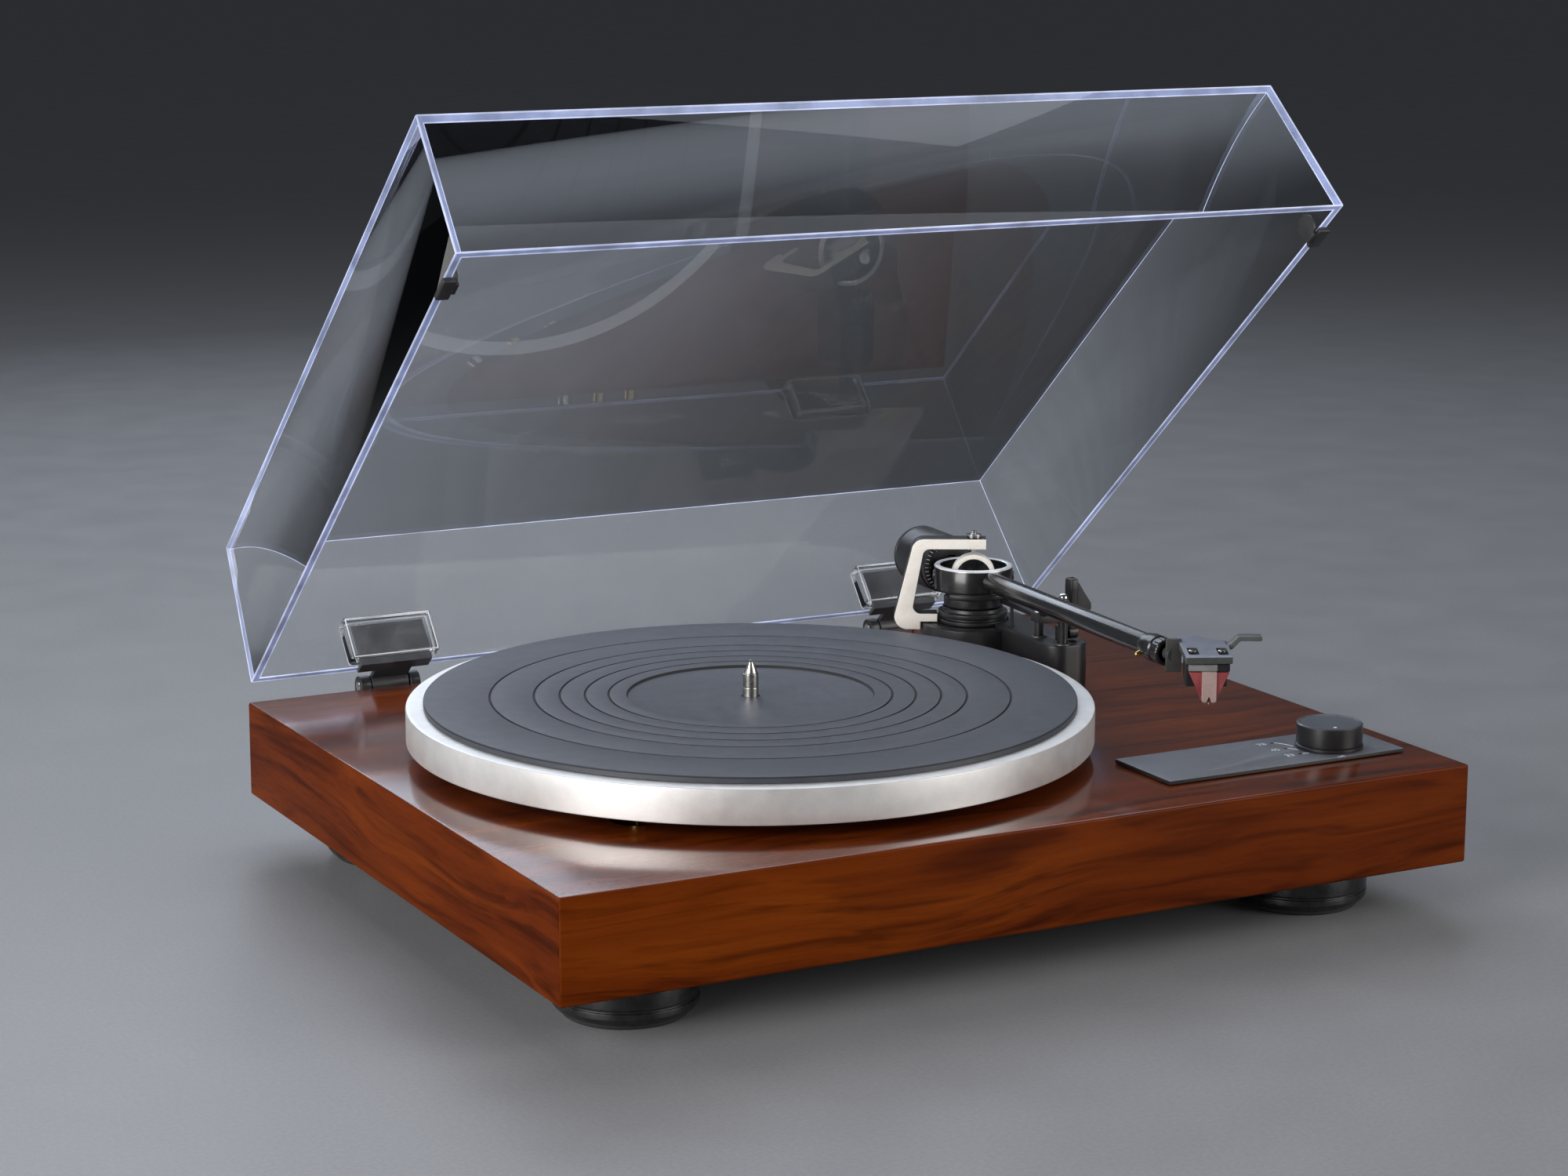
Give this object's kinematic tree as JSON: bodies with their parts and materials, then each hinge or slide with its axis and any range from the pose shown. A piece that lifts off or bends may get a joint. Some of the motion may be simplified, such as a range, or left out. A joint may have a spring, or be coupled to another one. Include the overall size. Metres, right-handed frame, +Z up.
{
  "type": "turntable record player",
  "caption": "Belt-driven record player: wood-veneer plinth, alloy platter with rubber mat, straight tonearm with cartridge, speed knob, round feet and a hinged clear lid.",
  "frame": {"origin": "on the floor, at the middle of the box that holds the player with its lid open as in the stored pose", "axes": "+X to the player's right as its user faces it, +Y to its back, +Z up"},
  "size_m": [0.435, 0.4022, 0.3533],
  "materials": {
    "walnut": "satin lacquered veneer",
    "black_plastic": "satin",
    "black_metal": "satin black paint",
    "foot_metal": "satin anodised",
    "rubber": "matt",
    "steel": "fine brushed",
    "brass": "turned",
    "alloy": "satin turned",
    "mat_rubber": "matt",
    "clear": "clear polished",
    "cream": "machined pale face, black sides",
    "tube_black": "gloss black",
    "shell_grey": "satin grey",
    "cartridge": "gloss",
    "stylus_red": "gloss",
    "board": "solder mask"
  },
  "bodies": {
    "deck": {"plinth": "walnut", "bottom_cover": "black_plastic", "foot_front_left": "foot_metal", "foot_front_right": "foot_metal", "foot_back_left": "foot_metal", "foot_back_right": "foot_metal", "foot_pad_front_left": "rubber", "foot_pad_front_right": "rubber", "foot_pad_back_left": "rubber", "foot_pad_back_right": "rubber", "control_panel": "black_metal", "speed_switch": "black_plastic", "control_board": "board", "motor": "black_metal", "bearing_housing": "steel", "drive_belt": "rubber", "rear_panel": "black_plastic", "rca_jack_left": "brass", "rca_jack_right": "brass", "ground_post": "steel", "dc_inlet": "black_plastic", "hinge_body_left": "black_plastic", "hinge_body_right": "black_plastic", "arm_base": "black_metal", "c_bracket": "cream", "top_pivot_screw": "steel", "bearing_column": "black_metal", "arm_rest": "black_metal"},
    "output_switch": {"output_switch": "black_plastic"},
    "speed_knob": {"speed_knob": "black_metal"},
    "platter": {"platter_spindle": "steel", "sub_platter": "black_plastic", "platter": "alloy", "mat": "mat_rubber"},
    "motor_pulley": {"motor_pulley": "brass"},
    "lid": {"lid": "clear", "hinge_pocket_left": "clear", "hinge_pocket_right": "clear", "hinge_leaf_left": "foot_metal", "hinge_leaf_right": "foot_metal", "lid_bumper_left": "rubber", "lid_bumper_right": "rubber"},
    "antiskate_dial": {"antiskate_dial": "black_plastic"},
    "lift_platform": {"lift_platform": "black_plastic"},
    "cue_lever": {"cue_lever": "black_plastic"},
    "yoke": {"gimbal_yoke": "cream"},
    "arm": {"gimbal_ring": "black_metal", "arm_tube": "tube_black", "headshell": "shell_grey", "finger_lift": "shell_grey", "cartridge_screw_near": "steel", "cartridge_screw_far": "steel", "cartridge_body": "cartridge", "stylus_assembly": "stylus_red", "weight_shaft": "tube_black"},
    "locking_collar": {"locking_collar": "tube_black"},
    "weight_slider": {"weight_bushing": "rubber"},
    "counterweight": {"counterweight": "black_metal"},
    "force_dial": {"force_dial": "black_plastic"}
  },
  "joints": [
    {"name": "lid_hinge", "type": "hinge", "parent": "deck", "child": "lid", "pos_m": [0, 0.1601, 0.0671], "axis": [-1, 0, 0], "range_deg": [-41.4, 18]},
    {"name": "platter_spin", "type": "hinge", "parent": "deck", "child": "platter", "pos_m": [-0.0474, -0.0302, 0.0677], "axis": [0, 0, 1], "continuous": true},
    {"name": "pulley_spin", "type": "hinge", "parent": "deck", "child": "motor_pulley", "pos_m": [-0.14235, -0.11303, 0.0677], "axis": [0, 0, 1], "continuous": true},
    {"name": "knob_turn", "type": "hinge", "parent": "deck", "child": "speed_knob", "pos_m": [0.1766, -0.1542, 0.0677], "axis": [0, 0, -1], "range_deg": [0, 90]},
    {"name": "output_switch_slide", "type": "slide", "parent": "deck", "child": "output_switch", "axis": [1, 0, 0], "range_m": [0, 0.004]},
    {"name": "antiskate_turn", "type": "hinge", "parent": "deck", "child": "antiskate_dial", "pos_m": [0.1274, 0.071, 0.0677], "axis": [0, 0, 1], "range_deg": [0, 150]},
    {"name": "lever_turn", "type": "hinge", "parent": "deck", "child": "cue_lever", "pos_m": [0.12366, 0.00811, 0.0933], "axis": [-0.9982, 0.0593, 0], "range_deg": [-60, 0]},
    {"name": "lift_slide", "type": "slide", "parent": "deck", "child": "lift_platform", "axis": [0, 0, 1], "range_m": [-0.003, 0]},
    {"name": "arm_swing", "type": "hinge", "parent": "deck", "child": "yoke", "pos_m": [0.1274, 0.071, 0.1107], "axis": [0, 0, -1], "range_deg": [0, 43]},
    {"name": "arm_tilt", "type": "hinge", "parent": "yoke", "child": "arm", "pos_m": [0.1274, 0.071, 0.1107], "axis": [-0.8796, 0.4756, 0], "range_deg": [-0.5, 12]},
    {"name": "collar_turn", "type": "hinge", "parent": "arm", "child": "locking_collar", "pos_m": [0.11732, -0.0987, 0.1107], "axis": [-0.0593, -0.9982, 0], "range_deg": [0, 60]},
    {"name": "weight_slide", "type": "slide", "parent": "arm", "child": "weight_slider", "axis": [-0.0593, -0.9982, 0], "range_m": [-0.00305, 0.00305]},
    {"name": "weight_turn", "type": "hinge", "parent": "weight_slider", "child": "counterweight", "pos_m": [0.13007, 0.11592, 0.1107], "axis": [-0.0593, -0.9982, 0], "range_deg": [-720, 720]},
    {"name": "force_dial_turn", "type": "hinge", "parent": "counterweight", "child": "force_dial", "pos_m": [0.129, 0.09796, 0.1107], "axis": [-0.0593, -0.9982, 0], "continuous": true}
  ],
  "couplings": [
    {"joint": "pulley_spin", "follows": "platter_spin", "ratio": 8.1111},
    {"joint": "lift_slide", "follows": "lever_turn", "m_per_rad": 0.0028648},
    {"joint": "weight_slide", "follows": "weight_turn", "m_per_rad": 0.00023873}
  ]
}
